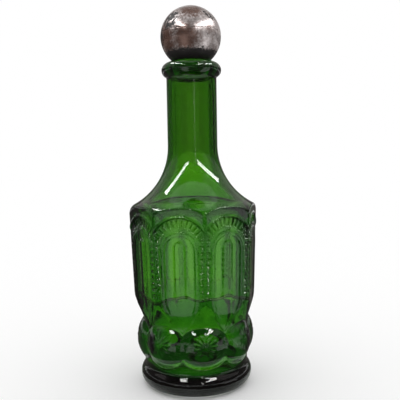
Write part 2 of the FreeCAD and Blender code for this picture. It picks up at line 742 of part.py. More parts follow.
ball_out = ball_solid("ball_outside", "0")
ball_in = ball_solid("ball_inside", "dims.ball_wall")
ball_mid = ball_solid("ball_lap_line", "(dims.ball_wall - dims.ball_lap_wall)")
ball_mid_free = ball_solid("ball_lap_free", "(dims.ball_wall - dims.ball_lap_wall + dims.ball_fit)")

# lower shell: up to the seam at full wall, then a thinner spigot inside the upper shell
low_zone = slab("low_zone", "dims.mouth_height", "dims.ball_seam")
low_full = boolean("Part::Common", "low_full", ball_out, low_zone)
lap_zone = slab("lap_zone", "dims.ball_seam", "dims.ball_seam + dims.ball_lap")
lap_full = boolean("Part::Common", "lap_full", ball_mid_free, lap_zone)
low_solid = boolean("Part::Fuse", "low_solid", low_full, lap_full)
low_room = slab("low_room", "dims.mouth_height + dims.ball_floor", "dims.ball_seam + dims.ball_lap")
low_hollow = boolean("Part::Common", "low_hollow", ball_in, low_room)
low_shell = boolean("Part::Cut", "low_shell", low_solid, low_hollow)
stem_hole = slab("stem_hole", "dims.mouth_height", "dims.mouth_height + dims.ball_floor", "dims.plug_stem")
cap_lower = boolean("Part::Cut", "cap_lower", low_shell, stem_hole)
cap_lower.Label = "cap_lower"

# upper shell: a dome with a rebate that takes the spigot
high_zone = slab("high_zone", "dims.ball_seam", "dims.ball_centre + dims.ball_radius + 1")
high_full = boolean("Part::Common", "high_full", ball_out, high_zone)
high_shell = boolean("Part::Cut", "high_shell", high_full, ball_in)
rebate_zone = slab("rebate_zone", "dims.ball_seam", "dims.ball_seam + dims.ball_lap + dims.ball_fit")
rebate = boolean("Part::Common", "rebate", ball_mid, rebate_zone)
cap_upper = boolean("Part::Cut", "cap_upper", high_shell, rebate)
cap_upper.Label = "cap_upper"
doc.recompute()

# ---------------------------------------------------------------- plug
plug = new_body("stopper_plug")
plug_outline = new_sketch(plug, "plug_outline", "XZ_Plane")
plug_r = bore_r - size["plug_fit"]
plug_in = plug_r - size["plug_wall"]
under = top_z
floor_top = top_z + size["ball_floor"]
wall_under = under - size["plug_wall"]
head_top = floor_top + size["plug_head_thick"]
plug_corners = [
    corner(0.0, wall_under, "axis", "dims.mouth_height - dims.plug_wall"),
    corner(plug_in, wall_under, "dims.bore_radius - dims.plug_fit - dims.plug_wall",
           "dims.mouth_height - dims.plug_wall"),
    corner(plug_in, size["plug_foot"], "dims.bore_radius - dims.plug_fit - dims.plug_wall", "dims.plug_foot"),
    corner(plug_r, size["plug_foot"], "dims.bore_radius - dims.plug_fit", "dims.plug_foot"),
    corner(plug_r, under, "dims.bore_radius - dims.plug_fit", "dims.mouth_height"),
    corner(size["plug_stem"], under, "dims.plug_stem", "dims.mouth_height"),
    corner(size["plug_stem"], floor_top, "dims.plug_stem", "dims.mouth_height + dims.ball_floor"),
    corner(size["plug_head"], floor_top, "dims.plug_head", "dims.mouth_height + dims.ball_floor"),
    corner(size["plug_head"], head_top, "dims.plug_head",
           "dims.mouth_height + dims.ball_floor + dims.plug_head_thick"),
    corner(0.0, head_top, "axis", "dims.mouth_height + dims.ball_floor + dims.plug_head_thick"),
]
draw_profile(plug_outline, plug_corners, [None] * len(plug_corners), {})
settle(plug_outline, "plug outline")
plug_turn = revolve(plug, plug_outline, "plug_turned")
plug.Tip = plug_turn
doc.recompute()

# ---------------------------------------------------------------- checks and export
for item in doc.Objects:
    if any(flag in item.State for flag in ("Invalid", "Error")):
        raise RuntimeError("failed object: %s %s" % (item.Name, item.State))
NODES = [glass_body, glass_neck, cap_lower, cap_upper, plug]
for node in NODES:
    shape = node.Shape
    if shape.isNull() or not shape.isValid() or len(shape.Solids) != 1:
        raise RuntimeError("bad shape: %s, %d solids" % (node.Label, len(shape.Solids)))
os.makedirs("parts", exist_ok=True)
for node in NODES:
    node.Shape.exportStep("parts/%s.step" % node.Label)
    box = node.Shape.BoundBox
    print("%-14s volume %9.1f mm3  z %.2f..%.2f  r %.2f" % (
        node.Label, node.Shape.Volume, box.ZMin, box.ZMax, box.XMax))
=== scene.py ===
import bmesh
import bpy
import math
import numpy as np
from mathutils import Matrix, Vector


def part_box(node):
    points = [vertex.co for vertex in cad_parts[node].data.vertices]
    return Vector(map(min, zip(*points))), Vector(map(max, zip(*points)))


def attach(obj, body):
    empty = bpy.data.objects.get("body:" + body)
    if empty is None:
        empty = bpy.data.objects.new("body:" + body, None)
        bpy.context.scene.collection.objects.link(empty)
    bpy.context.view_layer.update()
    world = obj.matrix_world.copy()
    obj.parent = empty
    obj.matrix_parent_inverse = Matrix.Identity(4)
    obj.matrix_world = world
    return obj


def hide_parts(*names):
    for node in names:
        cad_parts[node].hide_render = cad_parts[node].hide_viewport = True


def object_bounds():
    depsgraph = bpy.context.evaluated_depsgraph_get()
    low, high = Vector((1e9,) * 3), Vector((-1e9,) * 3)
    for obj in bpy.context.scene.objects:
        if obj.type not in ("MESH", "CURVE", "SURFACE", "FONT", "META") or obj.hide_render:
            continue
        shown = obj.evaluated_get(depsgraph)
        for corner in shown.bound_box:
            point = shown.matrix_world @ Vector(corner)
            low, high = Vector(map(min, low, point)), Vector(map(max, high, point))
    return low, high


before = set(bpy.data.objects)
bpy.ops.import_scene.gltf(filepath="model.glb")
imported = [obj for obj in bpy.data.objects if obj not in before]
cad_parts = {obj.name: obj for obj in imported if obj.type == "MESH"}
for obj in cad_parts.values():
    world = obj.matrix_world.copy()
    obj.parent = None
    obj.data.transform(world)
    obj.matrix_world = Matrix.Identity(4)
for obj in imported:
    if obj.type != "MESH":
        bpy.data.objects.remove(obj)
cad_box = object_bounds()

# A pressed-glass bottle, closed by a silvered ball on a soft plug. The glass repeats eight times
# round its axis: a turned profile cut by eight flat panels, with eight domed discs round the belt,
# relief on the panels, and a hollow. Sizes are millimetres in the CAD's frame, unless they say
# otherwise, and MM turns them into metres.
MM = 0.001
SECTORS = 8
HALF = math.pi / SECTORS  # angle from a panel's middle to the corner beside it

# turned outside; pairs are (radius, height) where two runs meet
FOOT_TUBE = 8.0
FOOT_R = 29.0
FLAT_R = 26.0
PUNT_RISE = 3.4
PUNT_FLAT = 6.0
BELT_LOW = (34.2, 14.0)
BELT_TOP = (34.9, 45.5)
KNEE = (40.5, 60.0)
SHOULDER = (42.9, 118.3)
NECK_R = 16.45
NECK_FOOT = 158.0
LIP_TUBE = 5.0
LIP_R = 14.6
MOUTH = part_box("bottle_neck")[1].z / MM
FOOT_ROUND = 5.0
BELT_ROUND = 6.0
KNEE_ROUND = 14.0
SHOULDER_ROUND = 6.5

# turned hollow
BORE_R = 13.0
TOP_IN_R = 36.4
KNEE_IN = (35.0, 62.0)
WAIST_IN = (31.4, 46.5)
FLOOR = (30.6, 9.5)
TOP_IN_ROUND = 8.0
KNEE_IN_ROUND = 5.0
WAIST_IN_ROUND = 6.0
FLOOR_ROUND = 7.0

# panels: distance from the axis at height 0, and how much more for each millimetre up
PANEL_N = 36.0
PANEL_TILT = math.tan(math.radians(1.87))
PANEL_BLEND = 0.5

# domed discs, and the dishes behind them in the hollow
DISC_Z = 32.0
DISC_REACH = 39.35
DISC_SPHERE = 21.0
DISC_C = DISC_REACH - DISC_SPHERE
DISC_WALL = 5.5
DISC_BLEND = 0.5
DISH_BLEND = 1.5

# relief on a panel: a frame drawn by two lines, each (how far inside, height, width)
FRAME_R = 11.6
FRAME_Z = 93.0
FRAME_KNEE = 64.0
FRAME_TIP = 41.0
FRAME_LINES = ((0.0, 0.48, 0.5), (1.5, 0.34, 0.42))
# a recess in the frame, and the raised bar in it
RECESS_DEPTH = 0.30
RECESS_EDGE = 2.4
BAR_HALF = 4.0
BAR_TOP = 99.5
BAR_LOW = 66.0
BAR_HEIGHT = 0.34
# a small oval ring
RING_Z = 65.5
RING_HALF = (3.0, 1.9)
RING_HEIGHT = 0.26
# an arch line, and the fan of slots under it, with their pitch in degrees
ARCH_R = 18.9
ARCH_Z = 95.0
ARCH_LOW = 103.5
ARCH_HEIGHT = 0.45
ARCH_WIDTH = 0.45
SLOT_PITCH = 11.0
SLOT_DEPTH = 1.0
SLOT_IN = FRAME_R + 2.1
SLOT_OUT = ARCH_R - 1.2
FAN_HALF = 66.0
# the ladder of rungs beside each corner
RUNG_LOW = 65.0
RUNG_PITCH = 3.85
RUNG_ROWS = 10
RUNG_SIDE = 1.95
RUNG_DEPTH = 1.1
RUNG_TALL = 0.8
RUNG_WIDE = 1.05
# the star carved in each disc, with the pitch of its rays in degrees
STAR_Z = 34.0
STAR_R = 9.0
STAR_DEPTH = 0.36
RAY_PITCH = 27.7
RAY_LENGTH = 7.2

# crease in the hollow's wall, near the foot of the panels
CREASE_Z = 62.5
CREASE_HEIGHT = 1.4
CREASE_WIDTH = 0.40
CREASE_REACH = 11.0

# mesh of the glass: coarse cells in a sector's width, parts that each may split into, height
# of the cells, and how far a cell may miss the surface, which the smallest may by more
COLUMNS = 16
FINE = 8
ROW_PITCH = 1.95
TOLERANCE = 0.05
SMALLEST_SLACK = 2.2
BODY_LOW = 9.2
BODY_HIGH = 124.0

# ball: one closed shell, with a fine groove at its seam given as (degrees from it, depth)
BALL_R = 19.8
BALL_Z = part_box("cap_upper")[1].z / MM - BALL_R
BALL_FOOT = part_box("cap_lower")[0].z / MM
SEAM_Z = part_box("cap_upper")[0].z / MM
BALL_WALL = 1.4
BALL_FLOOR = 1.6
STEM_R = 8.6
SEAM_GROOVE = ((-0.8, 0.0), (-0.45, 0.05), (-0.15, 0.22), (0.15, 0.22), (0.45, 0.03), (0.8, 0.0))
SEAM_REACH = 1.2
BALL_COLUMNS = 160


# ------------------------------------------------------------------ curves
def arc(cx, cy, radius, start, end, steps):
    """Points of an arc, angles in degrees."""
    angles = np.radians(np.linspace(start, end, steps + 1))
    return [(cx + radius * math.cos(a), cy + radius * math.sin(a)) for a in angles]


def between(a, b, shares):
    """Points at the given shares of the way from one point to another."""
    return [(a[0] + (b[0] - a[0]) * t, a[1] + (b[1] - a[1]) * t) for t in shares]


def run(low, high, z):
    """Radius at a height on the straight run through two (radius, height) points."""
    return low[0] + (high[0] - low[0]) * (z - low[1]) / (high[1] - low[1])


def round_corner(before, at, after, radius, steps):
    """A tangent arc in the corner of two straight runs."""
    a = np.array(before) - at
    b = np.array(after) - at
    a = a / np.linalg.norm(a)
    b = b / np.linalg.norm(b)
    half = math.acos(max(-1.0, min(1.0, float(a @ b)))) / 2
    reach = radius / math.tan(half)
    middle = np.array(at) + (a + b) / np.linalg.norm(a + b) * radius / math.sin(half)
    u = np.array(at) + a * reach - middle
    v = np.array(at) + b * reach - middle
    turn = math.acos(max(-1.0, min(1.0, float(u @ v) / radius ** 2)))
    shares = [i / steps for i in range(steps + 1)]
    return [tuple(middle + (u * math.sin((1 - t) * turn) + v * math.sin(t * turn)) / math.sin(turn))
            for t in shares]


def rolled(values, pitch, radius, inside):
    """Round a curve's corners with a ball rolled inside it, or outside for hollow corners."""
    reach = int(radius / pitch)
    ball = np.sqrt(np.maximum(0.0, radius ** 2 - (np.arange(-reach, reach + 1) * pitch) ** 2))
    sign = 1.0 if inside else -1.0
    padded = np.pad(sign * values, reach, mode="edge")
    shrunk = np.min([padded[i:i + len(values)] - ball[i] for i in range(len(ball))], axis=0)
    padded = np.pad(shrunk, reach, mode="edge")
    return sign * np.max([padded[i:i + len(values)] + ball[i] for i in range(len(ball))], axis=0)


SWEEP_R = ((NECK_FOOT - SHOULDER[1]) ** 2 + (SHOULDER[0] - NECK_R) ** 2) / (2 * (SHOULDER[0] - NECK_R))
SWEEP_C = (NECK_R + SWEEP_R, NECK_FOOT)


def turned_curve():
    """Radius against height of the turned outside, from the foot to the neck."""
    pitch = 0.1
    z_low, z_high = 8.0, 170.0
    # heights in plain wall where one rounded stretch hands over to the next
    foot_end, belt_from, belt_end, body_end, sweep_from, shoulder_end = 16, 30, 52, 90, 112, 135
    far_out = 60.0
    z = np.arange(z_low, z_high, pitch)
    foot = FOOT_R + np.sqrt(np.maximum(0.0, FOOT_TUBE ** 2 - (z - FOOT_TUBE) ** 2))
    belt = run(BELT_LOW, BELT_TOP, z)
    rise = run(BELT_TOP, KNEE, z)
    wall = run(KNEE, SHOULDER, z)
    sweep = SWEEP_C[0] - np.sqrt(np.maximum(0.0, SWEEP_R ** 2 - (SWEEP_C[1] - z) ** 2))
    sweep = np.where(z >= NECK_FOOT, NECK_R, np.where(z < sweep_from, far_out, sweep))
    low = rolled(np.maximum(np.where(z < foot_end, foot, 0.0), belt), pitch, FOOT_ROUND, False)
    up = rolled(np.minimum(rise, wall), pitch, KNEE_ROUND, True)
    body = rolled(np.where(z < BELT_TOP[1], low, up), pitch, BELT_ROUND, False)
    body = np.where(z < belt_from, low, np.where(z < belt_end, body, up))
    top = rolled(np.minimum(wall, sweep), pitch, SHOULDER_ROUND, True)
    return z, np.where(z < body_end, body, np.where(z < shoulder_end, top, sweep))


CURVE_Z, CURVE_R = turned_curve()


def outer_radius(z):
    """Radius of the turned outside between the foot and the neck, before panels and discs."""
    return float(np.interp(z, CURVE_Z, CURVE_R))


def foot_profile():
    """The underside, from beside its middle, and the foot's ring up to the start of the body."""
    punt_r = ((FLAT_R - PUNT_FLAT) ** 2 + PUNT_RISE ** 2) / (2 * PUNT_RISE)
    punt_end = math.degrees(math.acos((FLAT_R - PUNT_FLAT) / punt_r))
    points = [(PUNT_FLAT, PUNT_RISE)]
    points += arc(PUNT_FLAT, PUNT_RISE - punt_r, punt_r, 90.0, punt_end, 8)[1:]
    points += [(FOOT_R - 1.0, 0.0)]
    points += arc(FOOT_R, FOOT_TUBE, FOOT_TUBE, -90.0, 5.0, 16)
    return points


def neck_profile():
    """The outside from the top of the body, up the sweep and the neck and over the lip."""
    points = []
    for t in np.linspace(0, 1, 21)[1:]:
        z = BODY_HIGH + (NECK_FOOT - BODY_HIGH) * t
        points.append((outer_radius(z), z))
    lip_z = MOUTH - LIP_TUBE
    lip_foot = lip_z - math.sqrt(LIP_TUBE ** 2 - (NECK_R - LIP_R) ** 2)
    neck_top = lip_foot - 1.2
    points += [(NECK_R, NECK_FOOT + (neck_top - NECK_FOOT) * t) for t in np.linspace(0, 1, 9)[1:-1]]
    # the lip's tube starts from the neck with a small fillet
    points += [(NECK_R, lip_foot - 0.6), (NECK_R + 0.12, lip_foot - 0.1)]
    start = math.degrees(math.atan2(lip_foot - lip_z, NECK_R - LIP_R)) + 6
    points += arc(LIP_R, lip_z, LIP_TUBE, start, 90.0, 20)
    points += [(BORE_R + 0.5, MOUTH), (BORE_R + 0.12, MOUTH - 0.12)]
    return points


def hollow_profile():
    """The inside from the foot of the bore down to beside the middle of its floor."""
    sweep_in = SWEEP_R + NECK_R - BORE_R
    top_low = NECK_FOOT - math.sqrt(sweep_in ** 2 - (sweep_in - (TOP_IN_R - BORE_R)) ** 2)
    top_in = (TOP_IN_R, top_low)
    sweep_end = top_low + 3.2
    points = []
    for t in np.linspace(0, 1, 24)[1:]:
        z = NECK_FOOT + (sweep_end - NECK_FOOT) * t
        points.append((SWEEP_C[0] - math.sqrt(sweep_in ** 2 - (SWEEP_C[1] - z) ** 2), z))
    points += round_corner(points[-1], top_in, KNEE_IN, TOP_IN_ROUND, 9)
    points += between(top_in, KNEE_IN, np.linspace(0.15, 0.93, 14))
    points += round_corner(top_in, KNEE_IN, WAIST_IN, KNEE_IN_ROUND, 5)
    points += round_corner(KNEE_IN, WAIST_IN, FLOOR, WAIST_IN_ROUND, 4)
    points += between(WAIST_IN, FLOOR, np.linspace(0.1, 0.75, 20))
    points += round_corner(WAIST_IN, FLOOR, (0.0, FLOOR[1]), FLOOR_ROUND, 9)
    points += [(FLOOR[0] * t, FLOOR[1]) for t in (0.6, 0.4, 0.2)]
    # evenly placed rows, dense at the crease, take the place of those round it
    wall = [(z, r) for r, z in reversed(points) if z < SHOULDER[1] - 0.3 and r > 29.0]
    wall_z, wall_r = zip(*wall)
    band = np.concatenate([np.arange(75.0, 65.0, -1.5), np.arange(65.0, 60.0, -0.3),
                           np.arange(60.0, 50.0, -1.5)])
    above = [q for q in points if q[1] > band[0] + 0.5]
    below = [q for q in points if q[1] < band[-1] - 0.5]
    return above + [(float(np.interp(z, wall_z, wall_r)), float(z)) for z in band] + below


# ------------------------------------------------------------------ surface of the glass
def soft_max(a, b, k):
    """The larger of two values, blended where they differ by less than k."""
    h = max(0.0, k - abs(a - b)) / k
    return max(a, b) + h * h * k / 4


def soft_min(a, b, k):
    """The smaller of two values, blended where they differ by less than k."""
    return -soft_max(-a, -b, k)


def bump(distance, width):
    """A smooth ridge of height one."""
    return math.exp(-(distance / width) ** 2)


def step(value, centre, width):
    """Smooth step from 0 to 1."""
    return 1.0 / (1.0 + math.exp(-max(-40.0, min(40.0, (value - centre) / width))))


def frame_distance(x, z):
    """Distance outside the panel's frame line: an arch, two uprights and a pointed foot."""
    if z > FRAME_Z:
        return math.hypot(x, z - FRAME_Z) - FRAME_R
    if z > FRAME_KNEE:
        return abs(x) - FRAME_R
    t = (FRAME_KNEE - z) / (FRAME_KNEE - FRAME_TIP)
    if t >= 1.0:
        return math.hypot(x, z - FRAME_TIP)
    half = FRAME_R * math.cos(t * math.pi / 2)
    slope = FRAME_R * math.sin(t * math.pi / 2) * (math.pi / 2) / (FRAME_KNEE - FRAME_TIP)
    return (abs(x) - half) / math.sqrt(1.0 + slope * slope)


def bar_height(x, z):
    """The raised bar, round at its top and fading out at its foot."""
    top_z = BAR_TOP - BAR_HALF
    edge = math.hypot(x, z - top_z) - BAR_HALF if z > top_z else abs(x) - BAR_HALF
    return BAR_HEIGHT * step(-edge, 0.6, 0.22) * step(z, BAR_LOW, 1.6)


def slot_depth(angle, rho, side):
    """The fan's slots: stadiums that point to the arch's centre, faded at the panel's corner."""
    off = math.radians(angle - round(angle / SLOT_PITCH) * SLOT_PITCH) * rho
    half_width = 0.33 * math.radians(SLOT_PITCH) * rho
    past_end = max(SLOT_IN - rho, rho - SLOT_OUT, 0.0)
    distance = math.hypot(max(abs(off) - half_width * 0.55, 0.0), past_end)
    return SLOT_DEPTH * step(-distance, -0.62, 0.14) * step(side, 0.7, 0.25)


def relief(phi, z):
    """Height that the moulded pattern adds at an angle from the panel's middle."""
    x = (PANEL_N + z * PANEL_TILT) * math.tan(phi)
    side = (HALF - abs(phi)) * 41.0
    h = 0.0
    d = frame_distance(x, z)
    if d < 6.0 and z > FRAME_TIP - 3:
        for inset, height, width in FRAME_LINES:
            h += height * bump(d + inset, width)
    if d < 2.0 and z > FRAME_TIP:
        h -= RECESS_DEPTH * step(-d, RECESS_EDGE, 0.5)
        h += bar_height(x, z)
    if 61.0 < z < 70.0 and abs(x) < 5.0:
        h += RING_HEIGHT * bump(math.hypot(x / RING_HALF[0], (z - RING_Z) / RING_HALF[1]) - 1.0, 0.2)
    if z > 92.0:
        rho = math.hypot(x, z - ARCH_Z)
        h += ARCH_HEIGHT * bump(rho - ARCH_R, ARCH_WIDTH) * step(z, ARCH_LOW, 0.5)
        angle = math.degrees(math.atan2(x, z - ARCH_Z))
        if d > 0.3 and rho < ARCH_R - 0.1 and abs(angle) < FAN_HALF:
            h -= slot_depth(angle, rho, side)
    rung = round((z - RUNG_LOW) / RUNG_PITCH)
    if z > RUNG_LOW - 3 and 0 <= rung < RUNG_ROWS and z < RUNG_LOW + RUNG_PITCH * RUNG_ROWS:
        dz = z - RUNG_LOW - rung * RUNG_PITCH
        h -= RUNG_DEPTH * bump(dz, RUNG_TALL) * math.exp(-((side - RUNG_SIDE) / RUNG_WIDE) ** 4)
    return h


def star(phi, z):
    """Carved star in the middle of a disc: rays of leaf shape round a small hollow."""
    x = (HALF - abs(phi)) * 38.5 * (1 if phi < 0 else -1)
    y = z - STAR_Z
    rho = math.hypot(x, y)
    if rho > STAR_R or rho < 0.3:
        return -0.15 * bump(rho, 0.8)
    angle = math.degrees(math.atan2(y, x))
    off = math.radians(angle - round(angle / RAY_PITCH) * RAY_PITCH) * rho
    width = 0.30 + 0.55 * max(0.0, math.sin(math.pi * min(1.0, rho / RAY_LENGTH)))
    return -STAR_DEPTH * bump(off, width) * step(-rho, -RAY_LENGTH, 0.35) * step(rho, 1.0, 0.3)


def outside(phi, z):
    """Radius of the finished outside at an angle from the panel's middle and a height."""
    base = outer_radius(z)
    if z < 47.0:
        psi = HALF - abs(phi)
        span = DISC_SPHERE ** 2 - (z - DISC_Z) ** 2 - (DISC_C * math.sin(psi)) ** 2
        disc = DISC_C * math.cos(psi) + math.sqrt(span) if span > 0 else 0.0
        if disc > base - 1.0:
            base = soft_max(base, disc, DISC_BLEND)
            if disc > base - 0.3:
                base += star(phi, z)
    if 46.0 < z < 125.0:
        base = soft_min(base, (PANEL_N + z * PANEL_TILT) / math.cos(phi), PANEL_BLEND)
    if 40.0 < z < 116.0:
        base += relief(phi, z)
    return base


def inside(phi, z, turned):
    """Radius of the hollow, which swells a little behind each disc."""
    psi = HALF - abs(phi)
    span = (DISC_SPHERE - DISC_WALL) ** 2 - (z - DISC_Z) ** 2 - (DISC_C * math.sin(psi)) ** 2
    if span <= 0:
        return turned
    return soft_max(turned, DISC_C * math.cos(psi) + math.sqrt(span), DISH_BLEND)


def ripple(theta, z):
    """How far the hollow strays from a turned form: streaks in the neck, waves in the body."""
    if z > 128.0:
        fade = step(-z, -197.0, 1.2) * step(z, 140.0, 4.0)
        return fade * (0.11 * math.sin(3 * theta + 1.0) + 0.09 * math.sin(7 * theta + 2.1)
                       + 0.07 * math.sin(13 * theta + 0.4) + 0.035 * math.sin(23 * theta + 1.7))
    fade = step(z, 50.0, 3.0) * step(-z, -112.0, 3.0)
    wave = 0.10 * math.sin(2 * theta + z / 11.0) + 0.07 * math.sin(5 * theta - z / 17.0 + 1.3)
    return fade * wave + CREASE_HEIGHT * bump(z - CREASE_Z, CREASE_WIDTH)


def crease_shift(theta, z):
    """The crease round the foot of the panels wanders up and down, and the rows near it too."""
    reach = max(0.0, 1.0 - ((z - CREASE_Z) / CREASE_REACH) ** 2)
    path = 1.5 * math.sin(3 * theta + 0.6) + 1.3 * math.sin(7 * theta + 1.9) + 0.5 * math.sin(17 * theta)
    return path * reach * reach


# ------------------------------------------------------------------ meshes
def add_piece(name, points, faces):
    """A smooth closed mesh in the scene, whose faces of over four corners become triangles."""
    data = bpy.data.meshes.new(name)
    data.from_pydata(points, [], faces)
    work = bmesh.new()
    work.from_mesh(data)
    bmesh.ops.triangulate(work, faces=[f for f in work.faces if len(f.verts) > 4])
    bmesh.ops.recalc_face_normals(work, faces=work.faces)
    work.to_mesh(data)
    work.free()
    data.shade_smooth()
    item = bpy.data.objects.new(name, data)
    bpy.context.scene.collection.objects.link(item)
    return item


def glass_rows():
    """Rows of the glass as (kind, radius, height) from foot to floor, and the first inner one."""
    rows = [("turned", r, z) for r, z in foot_profile()]
    count = int(round((BODY_HIGH - BODY_LOW) / ROW_PITCH))
    rows += [("body", None, BODY_LOW + i * ((BODY_HIGH - BODY_LOW) / count)) for i in range(count + 1)]
    rows += [("turned", r, z) for r, z in neck_profile()]
    inner_from = len(rows)
    rows += [("turned", BORE_R, z) for z in np.linspace(MOUTH - 0.6, NECK_FOOT, 12)]
    rows += [("dish" if 20.0 < z < 44.5 else "turned", r, z) for r, z in hollow_profile()]
    return rows, inner_from


def bottle_glass():
    """The glass as one closed surface, its cells split where a flat one would miss the form."""
    rows, inner_from = glass_rows()
    wrap = COLUMNS * FINE
    cache = {}

    def row_radius(row, phi):
        kind, r, z = row
        if kind == "body":
            return outside(phi, z)
        return inside(phi, z, r) if kind == "dish" else r

    def surface(v, u):
        """Radius and height at fine row v and fine column u of a sector."""
        if (v, u) not in cache:
            phi = (u / wrap) * 2 * HALF - HALF
            i = min(v // FINE, len(rows) - 2)
            t = v / FINE - i
            one, two = rows[i], rows[i + 1]
            z = one[2] + (two[2] - one[2]) * t
            if one[0] == two[0] == "body" and 0 < t < 1:
                r = outside(phi, z)
            else:
                r = row_radius(one, phi)
                r += (row_radius(two, phi) - r) * t
            cache[(v, u)] = (r, z)
        return cache[(v, u)]

    leaves = []

    def split(v, u, size):
        """Keep a cell, or cut it in four while it misses the surface by too much."""
        half = size // 2
        if half:
            (a, m, b), (left, middle, right), (c, n, d) = [
                [surface(vv, uu)[0] for uu in (u, u + half, u + size)] for vv in (v, v + half, v + size)]
            miss = max(abs(m - (a + b) / 2), abs(n - (c + d) / 2), abs(left - (a + c) / 2),
                       abs(right - (b + d) / 2), abs(middle - (a + b + c + d) / 4))
            if miss > TOLERANCE * (SMALLEST_SLACK if half == 1 else 1.0):
                for vv in (v, v + half):
                    for uu in (u, u + half):
                        split(vv, uu, half)
                return
        leaves.append((v, u, size))

    for i in range(len(rows) - 1):
        for j in range(COLUMNS):
            if rows[i][0] == rows[i + 1][0] == "body":
                split(i * FINE, j * FINE, FINE)
            else:
                leaves.append((i * FINE, j * FINE, FINE))
    corners = set()
    for v, u, size in leaves:
        corners.update(((v, u), (v, u + size), (v + size, u), (v + size, u + size)))
    # a sector's two edges must carry the same points
    edge = {v for v, u in corners if u in (0, wrap)}
    corners |= {(v, 0) for v in edge} | {(v, wrap) for v in edge}
    # a cell's outline takes in the corners of smaller neighbours
    outlines = []
    for v, u, size in leaves:
        ring = [(v, uu) for uu in range(u, u + size)]
        ring += [(vv, u + size) for vv in range(v, v + size)]
        ring += [(v + size, uu) for uu in range(u + size, u, -1)]
        ring += [(vv, u) for vv in range(v + size, v, -1)]
        outlines.append([p for p in ring if p in corners])

    index = {}
    points = []

    def vertex(v, u, sector):
        key = (v, (u + sector * wrap) % (wrap * SECTORS))
        if key not in index:
            r, z = surface(v, u)
            theta = (u / wrap) * 2 * HALF - HALF + sector * 2 * HALF
            if v >= inner_from * FINE and 20.0 < z < 200.0:
                r += ripple(theta, z)
                z += crease_shift(theta, z)
            index[key] = len(points)
            points.append((r * math.sin(theta) * MM, -r * math.cos(theta) * MM, z * MM))
        return index[key]

    faces = [[vertex(v, u, sector) for v, u in ring] for sector in range(SECTORS) for ring in outlines]
    # close the middle of the underside and of the floor
    for pole_z, v in ((PUNT_RISE, 0), (FLOOR[1], (len(rows) - 1) * FINE)):
        pole = len(points)
        points.append((0.0, 0.0, pole_z * MM))
        ring = sorted(u for vv, u in corners if vv == v and u < wrap)
        loop = [vertex(v, u, sector) for sector in range(SECTORS) for u in ring]
        for a, b in zip(loop, loop[1:] + loop[:1]):
            faces.append([pole, b, a] if v == 0 else [pole, a, b])
    return add_piece("bottle_glass", points, faces)


def lathe(name, profile, columns):
    """A closed turned mesh from (radius, height) points; points on the axis become poles."""
    points = []
    rings = []
    for r, z in profile:
        if r < 1e-6:
            rings.append([len(points)])
            points.append((0.0, 0.0, z * MM))
            continue
        rings.append(list(range(len(points), len(points) + columns)))
        for j in range(columns):
            a = 2 * math.pi * j / columns
            points.append((r * math.cos(a) * MM, r * math.sin(a) * MM, z * MM))
    faces = []
    for one, two in zip(rings, rings[1:] + rings[:1]):
        if len(one) == 1 and len(two) == 1:
            continue
        for j in range(columns):
            k = (j + 1) % columns
            if len(one) == 1:
                faces.append((one[0], two[k], two[j]))
            elif len(two) == 1:
                faces.append((one[j], one[k], two[0]))
            else:
                faces.append((one[j], one[k], two[k], two[j]))
    return add_piece(name, points, faces)


def ball_profile():
    """The ball's shell from its foot, over the top and back down the inside to its floor."""
    inner_r = BALL_R - BALL_WALL
    foot_angle = math.degrees(math.asin((BALL_FOOT + 0.35 - BALL_Z) / BALL_R))
    seam_angle = math.degrees(math.asin((SEAM_Z - BALL_Z) / BALL_R))
    floor_angle = math.degrees(math.asin((BALL_FOOT + BALL_FLOOR - BALL_Z) / inner_r))
    foot_r = math.sqrt(BALL_R ** 2 - (BALL_FOOT - BALL_Z) ** 2)
    points = [(STEM_R, BALL_FOOT), (foot_r - 0.5, BALL_FOOT), (foot_r - 0.1, BALL_FOOT + 0.1)]
    points += arc(0.0, BALL_Z, BALL_R, foot_angle, seam_angle - SEAM_REACH, 30)
    for offset, depth in SEAM_GROOVE:
        a = math.radians(seam_angle + offset)
        points.append(((BALL_R - depth) * math.cos(a), BALL_Z + (BALL_R - depth) * math.sin(a)))
    points += arc(0.0, BALL_Z, BALL_R, seam_angle + SEAM_REACH, 88.0, 34)
    points += [(0.0, BALL_Z + BALL_R), (0.0, BALL_Z + BALL_R - BALL_WALL)]
    points += arc(0.0, BALL_Z, inner_r, 85.0, floor_angle, 30)
    points.append((STEM_R, BALL_FOOT + BALL_FLOOR))
    return points


bottle = bottle_glass()
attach(bottle, "root")
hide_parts("bottle", "bottle_neck")

ball = lathe("ball_silver", ball_profile(), BALL_COLUMNS)
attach(ball, "root")
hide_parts("cap_lower", "cap_upper")

# ------------------------------------------------------------------ the view's frame
# the front panel sits 13 degrees to the left of the view
VIEW_TURN = math.radians(13.0)
to_cam = Vector((math.sin(VIEW_TURN), -math.cos(VIEW_TURN), 0))
right = Vector((math.cos(VIEW_TURN), math.sin(VIEW_TURN), 0))


def direction(azimuth, elevation):
    """Unit vector at an azimuth from the view's side, positive to the right, and an elevation."""
    az = math.radians(azimuth)
    el = math.radians(elevation)
    return (to_cam * math.cos(az) + right * math.sin(az)) * math.cos(el) + Vector((0, 0, math.sin(el)))


